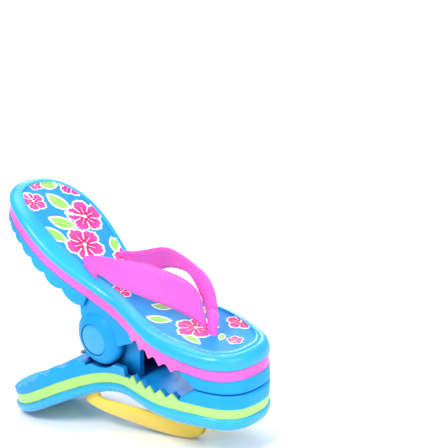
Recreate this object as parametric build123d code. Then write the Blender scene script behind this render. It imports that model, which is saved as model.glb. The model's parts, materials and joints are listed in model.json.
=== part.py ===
"""Beach-towel clip shaped as two thong sandals clamped sole to sole.

Both halves are the same set of mouldings, the lower one turned half a turn about the long axis.
The model is built in the clip frame: origin on the pivot axis, +X to the toes, Z square to the
plane where the toe jaws meet. It is then set down as it rests on a table, on the heel and strap of the lower half.
"""
from build123d import *
import math
import os

import numpy as np

# ---------------------------------------------------------------- driving dimensions, mm
LENGTH = 140.0            # developed length of one sandal, toe to heel
TOE_X, TOE_Z = 78.2, 8.8  # toe end of the stripe's centre line
SLOPE = [(0, -5.0), (25, 5.1), (50, 7.2), (70, 15.1), (90, 27.6), (112, 33.0), (140, 10.0)]   # arc length, slope in degrees
WIDTH = [(12, 16.99), (40, 19.39), (70, 11.6), (98, 16.5), (125, 19.8)]   # arc length, half width of the body of the outline
TOE_R, TOE_N = 15.0, 2.5      # length and fullness of the rounded toe
HEEL_R, HEEL_N = 40.0, 2.3    # the same for the heel

STRIPE = 2.2              # half height of the coloured stripe
STRIPE_T = 0.9            # thickness of the stripe band
STRIPE_IN = 0.15          # the band sits this far inside the walls
WALL = 2.0                # moulded wall
TOP = [(0, 8.4), (25, 8.3), (45, 7.2), (65, 6.6), (140, 6.2)]     # rim top above the stripe's centre line
RIM_R = 3.0               # rounding of the rim
RIM_W = 4.6               # width of the raised rim
RECESS = 0.9              # the insole lies this far under the rim
SKIN = 1.8                # footbed skin

CRESTS = [88.5, 98.5, 107.5, 115.0, 121.5, 127.5, 133.0]           # finger ridges, arc length of each crest
NOTCH_T = [(83, 7.2), (93.5, 6.6), (103, 6.0), (111.2, 5.3), (118.2, 4.7), (124.5, 4.3), (130.2, 3.9), (136.5, 3.6)]
RIDGE = [2.3, 2.2, 1.9, 1.5, 1.3, 1.2, 1.0]                        # ridge heights

TEETH_X = [24.0, 30.5, 37.0, 43.5, 50.0]
TOOTH_H, TOOTH_W = 2.4, 5.4

JAW_GAP = 0.06            # each jaw face stands this far off the meeting plane
JAW_BACK, JAW_FRONT = 52.7, 62.0

HUB_R = 12.2              # outer ear and dome
HUB_CUT = 12.9            # clearance arc in the other half's wall
EAR_OUT, EAR_MID, EAR_IN = 9.6, 7.2, 4.6      # ear faces, |y|
EAR_GAP = 0.2
SKIRT_Y = 11.3             # outside of the neck above the dome
DOME_Y, DOME_H = 8.6, 6.3
CAP_R, CAP_Y0, CAP_Y1 = 6.8, 12.5, 14.2
PIN_R, BORE_R = 2.0, 2.05
HEAD_R = 3.9
BOSS_R = 3.9

WIRE_R, COIL_R, COIL_Y, TURNS = 0.75, 5.0, 3.45, 4
POST_S, POST_R = 26.0, 2.3          # toe post of the strap
ROOT_S, ROOT_L, ROOT_Y = 87.6, 8.6, 10.4     # strap roots: arc length, length along the footbed, distance from the middle
STRAP_T = 1.7

SCREWS = [104.0, 121.0]   # arc length of the screws that hold the footbed down, in recesses under the lever

PITCH = 10.4              # degrees, toe down, as it rests on a table

# ---------------------------------------------------------------- the bent centre line


def lerp(table, s):
    return float(np.interp(s, [a for a, _ in table], [b for _, b in table]))


_N = 1640
_s = np.linspace(-12, 152, _N + 1)
_ks, _kv = np.array([a for a, _ in SLOPE], float), np.radians([b for _, b in SLOPE])


def _monotone(xk, yk, x):
    """Piecewise cubic through the knots with limited slopes, flat past both ends."""
    h = np.diff(xk)
    d = np.diff(yk) / h
    m = np.zeros(len(xk))
    for i in range(1, len(xk) - 1):
        if d[i - 1] * d[i] > 0:
            w1, w2 = 2 * h[i] + h[i - 1], h[i] + 2 * h[i - 1]
            m[i] = (w1 + w2) / (w1 / d[i - 1] + w2 / d[i])
    m[0], m[-1] = d[0], d[-1]
    x = np.clip(x, xk[0], xk[-1])
    i = np.clip(np.searchsorted(xk, x) - 1, 0, len(h) - 1)
    t = (x - xk[i]) / h[i]
    return ((1 + 2 * t) * (1 - t) ** 2 * yk[i] + t * (1 - t) ** 2 * h[i] * m[i]
            + t * t * (3 - 2 * t) * yk[i + 1] + t * t * (t - 1) * h[i] * m[i + 1])


_th = _monotone(_ks, _kv, _s)
_ds = _s[1] - _s[0]
_x = -np.concatenate([[0], np.cumsum((np.cos(_th)[1:] + np.cos(_th)[:-1]) / 2 * _ds)])
_z = np.concatenate([[0], np.cumsum((np.sin(_th)[1:] + np.sin(_th)[:-1]) / 2 * _ds)])
_x += TOE_X - np.interp(0, _s, _x)
_z += TOE_Z - np.interp(0, _s, _z)


def at(s, t=0.0):
    """(x, z) at arc length s from the toe and height t above the stripe's centre line."""
    a = float(np.interp(s, _s, _th))
    return float(np.interp(s, _s, _x)) + t * math.sin(a), float(np.interp(s, _s, _z)) + t * math.cos(a)


def s_of_x(x):
    return float(np.interp(-x, -_x, _s))


_wk = np.array([a for a, _ in WIDTH], float)
_wv = np.array([b for _, b in WIDTH], float)


def _natural(xk, yk):
    """Second derivatives of the natural cubic through the knots."""
    n, h = len(xk), np.diff(xk)
    A, r = np.eye(n), np.zeros(n)
    for i in range(1, n - 1):
        A[i, i - 1], A[i, i], A[i, i + 1] = h[i - 1], 2 * (h[i - 1] + h[i]), h[i]
        r[i] = 6 * ((yk[i + 1] - yk[i]) / h[i] - (yk[i] - yk[i - 1]) / h[i - 1])
    return np.linalg.solve(A, r)


_wm = _natural(_wk, _wv)


def half_width(s):
    """Half width of the sandal at arc length s, with rounded ends."""
    if s <= 0 or s >= LENGTH:
        return 0.0
    i = int(np.clip(np.searchsorted(_wk, s) - 1, 0, len(_wk) - 2))
    h = _wk[i + 1] - _wk[i]
    a, b = (_wk[i + 1] - s) / h, (s - _wk[i]) / h
    w = a * _wv[i] + b * _wv[i + 1] + ((a ** 3 - a) * _wm[i] + (b ** 3 - b) * _wm[i + 1]) * h * h / 6
    u, v = min(s / TOE_R, 1.0), min((LENGTH - s) / HEEL_R, 1.0)
    return w * (1 - (1 - u) ** TOE_N) ** (1 / TOE_N) * (1 - (1 - v) ** HEEL_N) ** (1 / HEEL_N)


# ---------------------------------------------------------------- builders
V = Vector


def spline(points):
    return Edge.make_spline([V(*p) for p in points])


def solid_y(edges, y0=-40.0, y1=40.0):
    """A solid from a closed outline drawn in the XZ plane, from y0 to y1. edges hold points (x, z) lists: 2 points is a line, more a spline, ('arc', a, b, c) an arc."""
    made = []
    for e in edges:
        if e[0] == "arc":
            made.append(Edge.make_three_point_arc(*[V(p[0], y0, p[1]) for p in e[1:]]))
        elif len(e) == 2:
            made.append(Edge.make_line(V(e[0][0], y0, e[0][1]), V(e[1][0], y0, e[1][1])))
        else:
            made.append(spline([(p[0], y0, p[1]) for p in e]))
    face = Face(Wire(made))
    return Solid.extrude(face, V(0, y1 - y0, 0))


def poly_y(points, y0, y1):
    pts = list(points)
    return solid_y([[pts[i], pts[(i + 1) % len(pts)]] for i in range(len(pts))], y0, y1)


def curve(t, s0, s1, n=24):
    """Points of the offset curve t(s) from s0 to s1."""
    f = t if callable(t) else (lambda s: t)
    return [at(s, f(s)) for s in np.linspace(s0, s1, n)]


def slab(lo, hi, s0=-9.0, s1=149.0, n=28, y0=-40.0, y1=40.0):
    a, b = curve(lo, s0, s1, n), curve(hi, s1, s0, n)
    return solid_y([a, [a[-1], b[0]], b, [b[-1], a[0]]], y0, y1)


def top_t(s):
    ks = np.array([a for a, _ in TOP], float)
    return float(_monotone(ks, np.array([b for _, b in TOP], float), np.array([s]))[0])


def planform(inset):
    """Arc lengths and half widths of the outline moved in by inset, measured on the bent centre line."""
    k = np.sin(np.linspace(0, math.pi / 2, 60)) ** 2
    ss = np.concatenate([12 * k ** 1.5, np.linspace(12.5, LENGTH - 12.5, 200), LENGTH - 12 * k[::-1] ** 1.5])
    p = np.array([(v, half_width(v)) for v in ss])
    d = np.gradient(p, axis=0)
    d[0], d[-1] = (0, 1), (0, -1)
    d /= np.linalg.norm(d, axis=1)[:, None]
    q = p + np.stack([d[:, 1], -d[:, 0]], 1) * inset
    q = q[q[:, 1] > 0.02]
    return q[:, 0], q[:, 1]


def stations(s0, s1):
    """Arc lengths of the loft's sections, close together at both ends."""
    e = np.array([0.03, 0.15, 0.4, 0.8, 1.4, 2.2, 3.2, 4.5, 6.2, 8.4, 11.2, 14.6, 18.5])
    return np.concatenate([s0 + e, np.linspace(s0 + 22.5, s1 - 22.5, 13), s1 - e[::-1]])


def frame(s):
    """Maps (y, t) in the plane square to the centre line at arc length s to a point."""
    def put(y, t):
        x, z = at(s, t)
        return V(x, y, z)
    return put


_blocks = {}


def outline(inset):
    """The room inside the side walls, less inset, as one lofted solid. The walls stand square to the centre line."""
    if inset not in _blocks:
        ps, pw = planform(inset)
        wires = []
        for s in stations(ps[0], ps[-1]):
            w, put = float(np.interp(s, ps, pw)), frame(s)
            wires.append(Wire.make_polygon([put(-w, -22), put(w, -22), put(w, 22), put(-w, 22)], close=True))
        _blocks[inset] = Solid.make_loft(wires)
    return _blocks[inset]


def rounded_block():
    """The footbed's outside: the outline with a rounded rim."""
    ps, pw = planform(0)
    wires = []
    for s in stations(ps[0], ps[-1]):
        w, put = float(np.interp(s, ps, pw)), frame(s)
        d = min(s - ps[0], ps[-1] - s)
        t = top_t(s) - RIM_R + (math.sqrt(RIM_R ** 2 - (RIM_R - d) ** 2) if d < RIM_R else RIM_R)
        r = min(RIM_R, 0.92 * w)
        c = r * (1 - math.sqrt(0.5))
        low = STRIPE - 2
        wires.append(Wire([
            Edge.make_line(put(-w, low), put(w, low)),
            Edge.make_line(put(w, low), put(w, t - r)),
            Edge.make_three_point_arc(put(w, t - r), put(w - c, t - c), put(w - r, t)),
            Edge.make_line(put(w - r, t), put(-w + r, t)),
            Edge.make_three_point_arc(put(-w + r, t), put(-w + c, t - c), put(-w, t - r)),
            Edge.make_line(put(-w, t - r), put(-w, low)),
        ]))
    return Solid.make_loft(wires)


def solids_of(shape):
    return list(shape.solids()) if shape is not None else []


def common(a, b):
    got = solids_of(a & b)
    return got[0] if len(got) == 1 else Compound(children=got)


def fuse(*shapes):
    got = [q for s in shapes for q in solids_of(s)]
    out = got[0]
    return out.fuse(*got[1:]) if len(got) > 1 else out


def inside(inset, shape):
    """shape cut down to the outline less inset."""
    return common(shape, outline(inset))


def cyl_y(r, y0, y1, x=0.0, z=0.0):
    return Solid.make_cylinder(r, y1 - y0, Plane(origin=(x, y0, z), z_dir=(0, 1, 0)))


def cyl_n(s, y, r, t0, t1):
    """A cylinder square to the footbed at arc length s, from height t0 to t1."""
    a = float(np.interp(s, _s, _th))
    x, z = at(s, t0)
    return Solid.make_cylinder(r, t1 - t0, Plane(origin=(x, y, z), z_dir=(math.sin(a), 0, math.cos(a))))


def box_n(s, y, ls, wy, t0, t1):
    """A box square to the footbed at arc length s: ls along it, wy across it, from height t0 to t1."""
    a = float(np.interp(s, _s, _th))
    x, z = at(s, (t0 + t1) / 2)
    return Box(wy, ls, t1 - t0).moved(Location(Plane(origin=(x, y, z), x_dir=(0, 1, 0), z_dir=(math.sin(a), 0, math.cos(a)))))


def one(shape, name, n=1):
    """The largest n solids of a shape, as one shape."""
    solids = sorted(shape.solids(), key=lambda q: -q.volume)
    if len(solids) != n:
        print("note:", name, "has", len(solids), "solids", [round(q.volume, 2) for q in solids][:6])
    return solids[0] if n == 1 else Compound(children=solids[:n])


def try_fillet(shape, edges, radii, name):
    for r in radii:
        try:
            out = shape.fillet(r, edges)
            if out.is_valid and len(out.solids()) == 1:
                print(name, "fillet", r, len(edges), "edges")
                return out.solids()[0]
        except Exception:
            pass
    print(name, "no fillet")
    return shape


# ---------------------------------------------------------------- the pieces of one half
def footbed():
    outer = one(common(rounded_block(), slab(STRIPE, 30)), "footbed")
    pocket = inside(RIM_W, slab(lambda s: top_t(s) - RECESS, lambda s: top_t(s) + 4))
    hollow = inside(WALL + 0.4, slab(STRIPE - 3, lambda s: top_t(s) - RECESS - SKIN))
    shell = outer - pocket - hollow
    top = top_t
    # bosses for the screws, and the strap's holes
    for s in SCREWS:
        shell = shell + cyl_n(s, 0, 3.3, STRIPE, top(s) - RECESS - 0.9)
        shell = shell - cyl_n(s, 0, 1.25, STRIPE - 1, top(s) - RECESS - 1.0)
    shell = shell - cyl_n(POST_S, 0, POST_R + 0.15, 0, 14)
    for side in (-1, 1):
        shell = shell - box_n(ROOT_S, side * ROOT_Y, ROOT_L + 0.6, STRAP_T + 0.5, 0, 14)
    for leg in (LEG_NEAR, flip(LEG_NEAR), LEG_FAR, flip(LEG_FAR), LEG_LOW, flip(LEG_LOW)):
        shell = shell - ribbon(dense(leg[:3], 2)[:4], STRAP_T + 0.9)
    return one(shell, "footbed")


def stripe_lower(extra=0.0):
    """The lower edge of the stripe, from the heel to the toe, with the teeth of the throat in it."""
    edges = []
    s_a = s_of_x(TEETH_X[0] - TOOTH_W / 2)
    heelward = curve(-STRIPE, 149, s_a, 26)
    edges.append(heelward)
    prev = heelward[-1]
    for i, x in enumerate(TEETH_X):
        sa, sm, sb = s_of_x(x - TOOTH_W / 2), s_of_x(x), s_of_x(x + TOOTH_W / 2)
        a, m, b = at(sa, -STRIPE), at(sm, -STRIPE - TOOTH_H), at(sb, -STRIPE)
        if i:
            edges.append([prev, a])
        edges.append([a, m])
        edges.append([m, b])
        prev = b
    s_b = s_of_x(TEETH_X[-1] + TOOTH_W / 2)
    edges.append(curve(-STRIPE, s_b, -9, 14))
    return edges


def stripe_band():
    low = stripe_lower()
    up = curve(STRIPE - 0.05, -9, 149, 34)
    body = solid_y(low + [[low[-1][-1], up[0]], up, [up[-1], low[0][0]]])
    return one(inside(STRIPE_IN, body) - inside(STRIPE_IN + STRIPE_T, slab(-20, 20)), "stripe")


def ridged_lower():
    """The tread of the heel, from the hub to the heel: arcs between notches."""
    pts = [at(s, -t) for s, t in NOTCH_T]
    edges = []
    for i, c in enumerate(CRESTS):
        m = at(c, -lerp(NOTCH_T, c) - RIDGE[i])
        edges.append(("arc", pts[i], m, pts[i + 1]))
    return edges, pts


def sole_frame():
    in_wall = STRIPE_IN + STRIPE_T + 0.15
    in_hollow = in_wall + WALL
    z0 = JAW_GAP
    # one outline from the heel's tread past the hub and the teeth to the toe jaw
    arcs, pts = ridged_lower()
    end, heel_top = at(149, -3.4), at(149, STRIPE - 0.02)
    edges = [[end, pts[-1]]] + [("arc", e[3], e[2], e[1]) for e in arcs[::-1]]
    hub = curve(-STRIPE, 83, s_of_x(TEETH_X[0] - TOOTH_W / 2), 12)
    edges += [[pts[0], hub[0]], hub]
    teeth = stripe_lower()[1:-1]
    edges += teeth
    a = teeth[-1][-1]
    back = [a, (JAW_BACK + 1.8, a[1] - 2.6), (JAW_BACK + 5.0, 1.9), (JAW_FRONT - 2.2, 0.45), (JAW_FRONT, z0)]
    up = curve(STRIPE - 0.02, -9, 149, 34)
    edges += [back, [(JAW_FRONT, z0), (90, z0)], [(90, z0), up[0]], up, [heel_top, end]]
    body = one(inside(0, solid_y(edges)), "sole blank")
    nose = [e for e in body.edges() if abs(e.center().Z - z0) < 0.02 and e.center().X > JAW_FRONT + 0.6]
    body = try_fillet(body, nose, (1.6, 1.2, 0.8), "jaw nose")
    # room for the stripe, and for its teeth along the throat
    t0, t1 = -STRIPE - 0.03, -8.0
    sa, sb = s_of_x(TEETH_X[0] - TOOTH_W / 2), s_of_x(JAW_BACK + 0.3)
    hi = curve(9, -9, 149, 20)
    room = solid_y([curve(t0, 149, sa, 20), [at(sa, t0), at(sa, t1)], curve(t1, sa, sb, 8), [at(sb, t1), at(sb, t0)], curve(t0, sb, -9, 12),
                    [at(-9, t0), hi[0]], hi, [hi[-1], at(149, t0)]])
    ring = room - outline(in_wall)
    body = body - ring
    # side wall beside the hub on the +Y side, under the stripe
    side = solid_y([curve(-6.2, 83.5, s_of_x(18), 10), [at(s_of_x(18), -6.2), at(s_of_x(18), t0)],
                    curve(t0, s_of_x(18), 83.5, 10), [at(83.5, t0), at(83.5, -6.2)]], 8.0, 40)
    side = inside(0, side) - outline(WALL)
    link = solid_y([curve(-STRIPE - 0.6, 83.5, s_of_x(18), 10), [at(s_of_x(18), -STRIPE - 0.6), at(s_of_x(18), 0)],
                    curve(0, s_of_x(18), 83.5, 10), [at(83.5, 0), at(83.5, -STRIPE - 0.6)]], 8.0, 40)
    side = fuse(side, inside(in_wall, link) - outline(WALL + 0.4)) - cyl_y(HUB_CUT, 7, 20)
    body = body + side
    # hollows: throat and hub, heel, toe
    throat = slab(-20, STRIPE - WALL, s_of_x(JAW_BACK + 4), 84)
    body = body - inside(in_hollow, throat)
    heel_in = solid_y([curve(lambda s: -lerp(NOTCH_T, s) + WALL + 0.1, 86, 149, 16), [at(149, -lerp(NOTCH_T, 149) + WALL + 0.1), at(149, 4)],
                       curve(4, 149, 86, 16), [at(86, 4), at(86, -lerp(NOTCH_T, 86) + WALL + 0.1)]])
    body = body - inside(in_hollow, heel_in)
    toe_in = poly_y([(JAW_FRONT, WALL + z0), (90, WALL + z0), (90, 16), (JAW_BACK + 6.5, 16), (JAW_BACK + 6.5, 5.0)], -40, 40)
    body = body - inside(in_hollow, toe_in)
    # ears
    top = STRIPE - WALL / 2
    outer = cyl_y(HUB_R, -EAR_OUT, -EAR_MID)
    c = curve(top, 92, s_of_x(20.4), 16)
    outer = outer + solid_y([[(-9.6, 7.5), (-4, 4)], [(-4, 4), (4, 2)], [(4, 2), (12.2, 0.4)], [(12.2, 0.4), (20.4, 4.7)], [(20.4, 4.7), c[-1]], c[::-1],
                             [c[0], at(92, -6.4)], [at(92, -6.4), (-9.6, 16.4)], [(-9.6, 16.4), (-9.6, 7.5)]], -SKIRT_Y, -EAR_MID)
    inner = cyl_y(10.6, EAR_IN, EAR_MID - EAR_GAP)
    c = curve(top, 80.5, s_of_x(19.9), 12)
    inner += solid_y([[(-9.4, 6.4), (0, 0)], [(0, 0), (8.0, -8.0)], [(8.0, -8.0), (19.9, -8.6)], [(19.9, -8.6), c[-1]], c[::-1], [c[0], (-9.4, 17.4)],
                      [(-9.4, 17.4), (-9.4, 6.4)]], EAR_IN, EAR_MID - EAR_GAP)
    inner += cyl_y(BOSS_R, 0.1, EAR_IN + 0.5)
    # dome on the outer ear
    ys = np.linspace(0, 1, 9)
    prof = [(HUB_R * math.sqrt(1 - (v * 0.86) ** 2), DOME_Y + v * 0.86 * DOME_H) for v in ys]
    pts = [V(r, -y, 0) for r, y in prof]
    wire = Wire([Edge.make_spline(pts), Edge.make_line(pts[-1], V(0, pts[-1].Y, 0)), Edge.make_line(V(0, pts[-1].Y, 0), V(0, -DOME_Y, 0)),
                 Edge.make_line(V(0, -DOME_Y, 0), pts[0])])
    dome = Solid.revolve(Face(wire), 360, Axis((0, 0, 0), (0, 1, 0)))
    outer = common(outer, outline(0.05)) - ring
    outer = (outer + dome) - cyl_y(CAP_R + 0.1, -20, -CAP_Y0) - cyl_y(5.2, -20, -EAR_OUT)
    body = body + outer + inner
    body = body - cyl_y(BORE_R, -20, 20)
    # screw seats
    for s in SCREWS:
        body = body + cyl_n(s, 0, 4.4, -lerp(NOTCH_T, s) + 0.6, STRIPE - 0.02)
        body = body - cyl_n(s, 0, 3.0, -14, STRIPE - WALL)
        body = body - cyl_n(s, 0, 1.5, -14, 10)
    return one(body, "sole")


def screws():
    out = []
    seat = STRIPE - WALL - 0.03
    for s in SCREWS:
        head = cyl_n(s, 0, 2.6, seat - 1.5, seat)
        slot = cyl_n(s, 0, 0.95, seat - 1.9, seat - 0.7)
        shank = cyl_n(s, 0, 1.2, seat - 0.3, top_t(s) - RECESS - 1.25)
        out.append(one((head + shank) - slot, "screw"))
    return Compound(out)


def hub_cap():
    y0, y1 = CAP_Y0, CAP_Y1
    pts = [V(CAP_R - 0.1, -(y0 + 0.03), 0), V(CAP_R - 0.1, -(y0 + 0.9), 0)]
    arc = Edge.make_spline([pts[1], V(CAP_R - 0.5, -(y0 + 1.22), 0), V(4.6, -(y1 - 0.17), 0), V(2.2, -(y1 - 0.03), 0), V(0, -y1, 0)])
    wire = Wire([Edge.make_line(pts[0], pts[1]), arc, Edge.make_line(V(0, -y1, 0), V(0, -(y0 + 0.03), 0)), Edge.make_line(V(0, -(y0 + 0.03), 0), pts[0])])
    cap = Solid.revolve(Face(wire), 360, Axis((0, 0, 0), (0, 1, 0)))
    cap = cap + (cyl_y(5.1, -(y0 + 0.1), -(y0 - 1.0)) - cyl_y(4.2, -(y0 + 0.1), -(y0 - 1.0)))
    return one(cap, "cap")


# strap stations from the root to the toe post: upper edge and lower edge of the ribbon. The soft strap sits a little higher on the +Y side
LEG_NEAR = [
    ((-8.6, -10.4, 30.6), (-0.9, -10.5, 25.6)), ((-9.2, -10.5, 33.6), (0.8, -10.8, 27.8)), ((4.2, -8.2, 36.9), (11.1, -11.0, 27.4)),
    ((15.3, -6.2, 38.1), (22.2, -10.2, 27.0)), ((25.1, -4.6, 38.8), (31.5, -8.8, 26.2)), ((38.9, -2.4, 37.8), (40.1, -6.6, 24.8)),
    ((47.1, -1.2, 34.0), (47.2, -3.6, 21.8)), ((49.9, -1.0, 28.0), (50.4, -2.0, 19.4)), ((52.0, -0.9, 20.0), (51.6, -1.2, 16.6)),
]
LEG_FAR = [
    ((-8.0, 10.4, 29.6), (-0.9, 10.5, 25.6)), ((-4.0, 10.3, 31.2), (5.0, 10.6, 26.6)), ((8.7, 9.5, 35.7), (15.0, 10.2, 28.5)),
    ((17.2, 8.6, 39.8), (20.0, 9.6, 31.0)), ((24.1, 7.6, 41.8), (25.0, 7.8, 33.4)), ((32.4, 6.2, 42.0), (31.2, 5.6, 35.6)),
    ((40.1, 4.8, 41.2), (37.0, 4.0, 36.4)), ((47.7, 3.4, 39.6), (41.8, 2.6, 34.8)), ((52.6, 2.5, 35.6), (46.6, 1.5, 30.2)),
    ((54.8, 2.1, 29.6), (50.0, 1.0, 24.6)), ((55.2, 1.8, 20.0), (51.4, 0.8, 17.6)),
]
LEG_LOW = [((a[0], a[1], a[2] - d), (b[0], b[1], b[2] - d * 0.8)) for (a, b), d in zip(LEG_NEAR, (0, 0.6, 1.8, 2.5, 2.7, 2.4, 1.4, 0.5, 0))]


def flip(leg):
    return [((a[0], -a[1], a[2]), (b[0], -b[1], b[2])) for a, b in leg]


def ribbon(stations, thick):
    """A solid ribbon through the stations: straight-sided pieces between neighbouring sections."""
    secs = []
    n = len(stations)
    mids = [np.add(a, b) / 2 for a, b in stations]
    for i, (a, b) in enumerate(stations):
        a, b = np.array(a, float), np.array(b, float)
        w = (b - a) / np.linalg.norm(b - a)
        d = mids[min(i + 1, n - 1)] - mids[max(i - 1, 0)]
        nrm = np.cross(d, w)
        nrm /= np.linalg.norm(nrm)
        secs.append([a + nrm * thick / 2, b + nrm * thick / 2, b - nrm * thick / 2, a - nrm * thick / 2])
    out = None
    faces = []

    def tri(p, q, r):
        faces.append(Face(Wire.make_polygon([V(*p), V(*q), V(*r)], close=True)))

    for i in range(n - 1):
        for k in range(4):
            p, q = secs[i][k], secs[i][(k + 1) % 4]
            r, t = secs[i + 1][(k + 1) % 4], secs[i + 1][k]
            tri(p, q, r)
            tri(p, r, t)
    for sec in (secs[0], secs[-1]):
        tri(sec[0], sec[1], sec[2])
        tri(sec[0], sec[2], sec[3])
    solid = Solid(Shell(faces))
    return solid if solid.volume > 0 else Solid(Shell([f for f in faces])).fix()


def dense(stations, m):
    """Smooths the stations with a Catmull-Rom curve, m pieces between neighbours."""
    P = np.array(stations, float).reshape(len(stations), 6)
    out = []
    for i in range(len(P) - 1):
        p0, p1, p2, p3 = P[max(i - 1, 0)], P[i], P[i + 1], P[min(i + 2, len(P) - 1)]
        for k in range(m):
            t = k / m
            out.append(0.5 * (2 * p1 + (p2 - p0) * t + (2 * p0 - 5 * p1 + 4 * p2 - p3) * t * t + (3 * p1 - p0 - 3 * p2 + p3) * t ** 3))
    out.append(P[-1])
    return [((q[0], q[1], q[2]), (q[3], q[4], q[5])) for q in out]


def strap(legs):
    t_in = top_t(POST_S) - RECESS
    post = cyl_n(POST_S, 0, POST_R, t_in - SKIN - 1.5, t_in + 5.0) + cyl_n(POST_S, 0, 4.4, t_in - SKIN - 1.5, t_in - SKIN - 0.1)
    body = post
    for leg in legs:
        body = body + ribbon(dense(leg, 2), STRAP_T)
    for side in (-1, 1):
        y = side * ROOT_Y
        t_r = top_t(ROOT_S) - RECESS
        body = body + box_n(ROOT_S, y, ROOT_L, STRAP_T, t_r - SKIN - 1.4, t_r + 1.6)
        body = body + box_n(ROOT_S, y - side * 1.3, ROOT_L, STRAP_T + 2.6, t_r - SKIN - 1.4, t_r - SKIN - 0.1)
    return one(body, "strap")


def pivot_pin():
    y = EAR_OUT + EAR_GAP
    pin = cyl_y(PIN_R, -(y + 1.2), y + 1.6) + cyl_y(HEAD_R, -(y + 1.2), -y)
    return one(pin, "pin")


def pin_retainer():
    y = EAR_OUT + EAR_GAP
    ring = cyl_y(HEAD_R, y, y + 0.9) - cyl_y(PIN_R + 0.02, y - 1, y + 3)
    for k in range(3):
        a = math.radians(90 + 120 * k)
        ring = ring - cyl_y(0.55, y - 1, y + 3, 2.35 * math.cos(a), 2.35 * math.sin(a))
    return one(ring, "retainer")


def torsion_spring():
    """Coil round the pivot. The near leg bears on the lower lever, the far leg on the upper one."""
    leave = math.radians(60.6)
    turn = 2 * leave + 2 * math.pi * TURNS
    pitch = 2 * COIL_Y / turn * 2 * math.pi
    pts = []
    n = 16 * TURNS + 8
    for i in range(n + 1):
        a = -leave + turn * i / n
        pts.append(V(COIL_R * math.cos(a), -COIL_Y + 2 * COIL_Y * i / n, COIL_R * math.sin(a)))
    path = Edge.make_spline(pts)
    start = path.position_at(0)
    tan = path.tangent_at(0)
    prof = Wire(Edge.make_circle(WIRE_R, Plane(origin=start, z_dir=tan)))
    coil = Solid.sweep(Face(prof), Wire([path]))
    body = coil
    reach = 27.5
    for sgn, p in ((-1, pts[0]), (1, pts[-1])):
        a = leave
        d = V(-math.sin(a), 0, sgn * math.cos(a))
        leg = Solid.make_cylinder(WIRE_R * 0.999, reach, Plane(origin=p, z_dir=d))
        body = body + leg + Solid.make_sphere(WIRE_R * 1.004, Plane(p), -90, 90, 360)
    return one(body, "spring")


# ---------------------------------------------------------------- assemble
def main():
    os.makedirs("parts", exist_ok=True)
    turn = Location((0, 0, 0), (180, 0, 0))
    half = {"footbed": footbed(), "stripe_band": stripe_band(), "sole_frame": sole_frame(), "screws": screws(), "hub_cap": hub_cap()}
    parts = {}
    for k, v in half.items():
        parts["upper_" + k] = v
        parts["lower_" + k] = v.moved(turn)
    parts["upper_strap"] = strap((LEG_NEAR, LEG_FAR))
    parts["lower_strap"] = strap((LEG_LOW, flip(LEG_LOW))).moved(turn)
    parts["pivot_pin"] = pivot_pin()
    parts["pin_retainer"] = pin_retainer()
    parts["torsion_spring"] = torsion_spring()
    # set down on the table
    tilt = Location((0, 0, 0), (0, PITCH, 0))
    posed = {k: v.moved(tilt) for k, v in parts.items()}
    boxes = [v.bounding_box() for v in posed.values()]
    lo = [min(getattr(b.min, a) for b in boxes) for a in "XYZ"]
    hi = [max(getattr(b.max, a) for b in boxes) for a in "XYZ"]
    shift = Location((-(lo[0] + hi[0]) / 2, -(lo[1] + hi[1]) / 2, -lo[2]))
    print("pivot in the row frame, mm:", [round(v, 4) for v in shift.position])
    print("size, mm:", [round(hi[i] - lo[i], 2) for i in range(3)])
    for k, v in posed.items():
        export_step(v.moved(shift), f"parts/{k}.step")


main()
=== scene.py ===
import json
import math

import bpy
import numpy as np
from mathutils import Matrix, Vector


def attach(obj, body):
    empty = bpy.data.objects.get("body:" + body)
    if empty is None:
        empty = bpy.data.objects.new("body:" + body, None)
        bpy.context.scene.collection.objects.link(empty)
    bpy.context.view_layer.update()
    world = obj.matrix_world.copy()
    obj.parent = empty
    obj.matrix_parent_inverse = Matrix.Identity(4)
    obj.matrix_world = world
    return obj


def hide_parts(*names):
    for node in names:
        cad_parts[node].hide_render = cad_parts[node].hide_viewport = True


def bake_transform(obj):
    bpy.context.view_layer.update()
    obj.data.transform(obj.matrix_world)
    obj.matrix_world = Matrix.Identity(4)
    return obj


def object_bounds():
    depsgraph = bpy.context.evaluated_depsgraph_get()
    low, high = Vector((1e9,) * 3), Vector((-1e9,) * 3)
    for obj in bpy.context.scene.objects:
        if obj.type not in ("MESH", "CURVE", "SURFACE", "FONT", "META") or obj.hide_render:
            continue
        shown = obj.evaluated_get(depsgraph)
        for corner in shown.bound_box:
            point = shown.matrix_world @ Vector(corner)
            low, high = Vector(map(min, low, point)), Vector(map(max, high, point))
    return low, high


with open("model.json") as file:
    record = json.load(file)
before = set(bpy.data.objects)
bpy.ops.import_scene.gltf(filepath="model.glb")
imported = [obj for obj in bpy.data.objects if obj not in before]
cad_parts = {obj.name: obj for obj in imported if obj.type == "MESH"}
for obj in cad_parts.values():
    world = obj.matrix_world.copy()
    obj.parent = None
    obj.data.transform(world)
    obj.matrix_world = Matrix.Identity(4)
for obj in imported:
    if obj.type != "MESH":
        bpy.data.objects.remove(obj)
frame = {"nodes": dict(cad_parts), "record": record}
cad_lo, cad_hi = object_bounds()
rec = frame["record"]
nodes = frame["nodes"]

# ------------------------------------------------------------------ the clip frame inside the row frame
PIVOT = np.array(rec["behaviour"]["joints"][0]["pos_m"], float)
FWD = np.array(next(m for m in rec["mounts"] if m["name"] == "jaw_mouth")["axis"], float)
FWD /= np.linalg.norm(FWD)
SIDE = np.array([0.0, 1.0, 0.0])
UP = np.cross(FWD, SIDE)
ROT = np.stack([FWD, SIDE, UP], 1)


def row(p):
    """Clip-frame millimetres to row-frame metres."""
    return (np.asarray(p, float) @ ROT.T) / 1000 + PIVOT


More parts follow.
